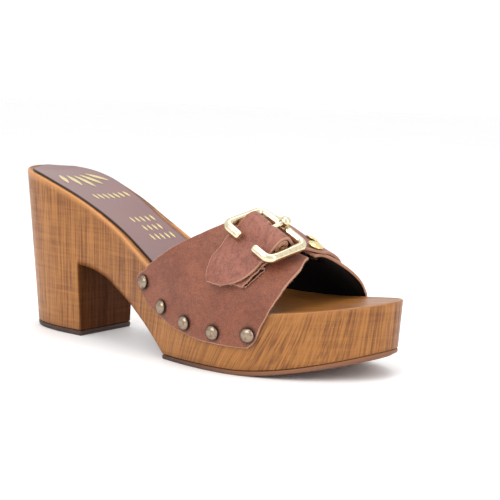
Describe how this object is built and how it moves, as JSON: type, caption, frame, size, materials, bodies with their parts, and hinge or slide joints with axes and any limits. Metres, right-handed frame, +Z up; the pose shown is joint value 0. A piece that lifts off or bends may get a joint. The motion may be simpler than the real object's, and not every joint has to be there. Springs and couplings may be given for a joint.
{
  "type": "wooden clog",
  "caption": "Open-toe wooden clog with a tall block heel, a nailed two-panel leather vamp and a wide buckled strap, for the right foot.",
  "frame": {"origin": "on the ground, under the middle of the clog's bounding box", "axes": "+X to the toe, +Y to the inner side of the foot, +Z up"},
  "size_m": [0.2458, 0.0926, 0.0945],
  "materials": {
    "stained_wood": "stained and lacquered, satin",
    "sole_rubber": "matt",
    "sock_leather": "smooth, satin",
    "vamp_leather": "full grain, satin",
    "strap_leather": "full grain, satin",
    "antique_nickel": "antiqued",
    "pale_gold": "polished"
  },
  "bodies": {
    "clog": {"wooden_sole": "stained_wood", "forefoot_outsole": "sole_rubber", "heel_top_lift": "sole_rubber", "insole_sock": "sock_leather", "outer_vamp": "vamp_leather", "inner_vamp": "vamp_leather", "outer_nail_1": "antique_nickel", "outer_nail_2": "antique_nickel", "outer_nail_3": "antique_nickel", "outer_nail_4": "antique_nickel", "outer_nail_5": "antique_nickel", "inner_nail_1": "antique_nickel", "inner_nail_2": "antique_nickel", "inner_nail_3": "antique_nickel", "inner_nail_4": "antique_nickel", "inner_nail_5": "antique_nickel", "anchor_strap": "strap_leather", "anchor_rivet_1": "antique_nickel", "anchor_washer_1": "antique_nickel", "anchor_rivet_2": "antique_nickel", "anchor_washer_2": "antique_nickel", "buckle_strap": "strap_leather", "strap_rivet_1": "pale_gold", "strap_washer_1": "pale_gold", "strap_rivet_2": "pale_gold", "strap_washer_2": "pale_gold", "strap_rivet_3": "pale_gold", "strap_washer_3": "pale_gold", "strap_rivet_4": "pale_gold", "strap_washer_4": "pale_gold"},
    "buckle": {"buckle_frame": "pale_gold", "buckle_center_bar": "pale_gold"},
    "prong": {"buckle_prong": "pale_gold"}
  },
  "joints": [
    {"name": "buckle_rock", "type": "hinge", "parent": "clog", "child": "buckle", "pos_m": [0.06443, -0.02253, 0.06997], "axis": [0.8812, -0.044, -0.4706], "range_deg": [-1.5, 1.5]},
    {"name": "prong_swing", "type": "hinge", "parent": "buckle", "child": "prong", "pos_m": [0.06443, -0.02253, 0.06997], "axis": [0.8812, -0.044, -0.4706], "range_deg": [0, 14]}
  ]
}
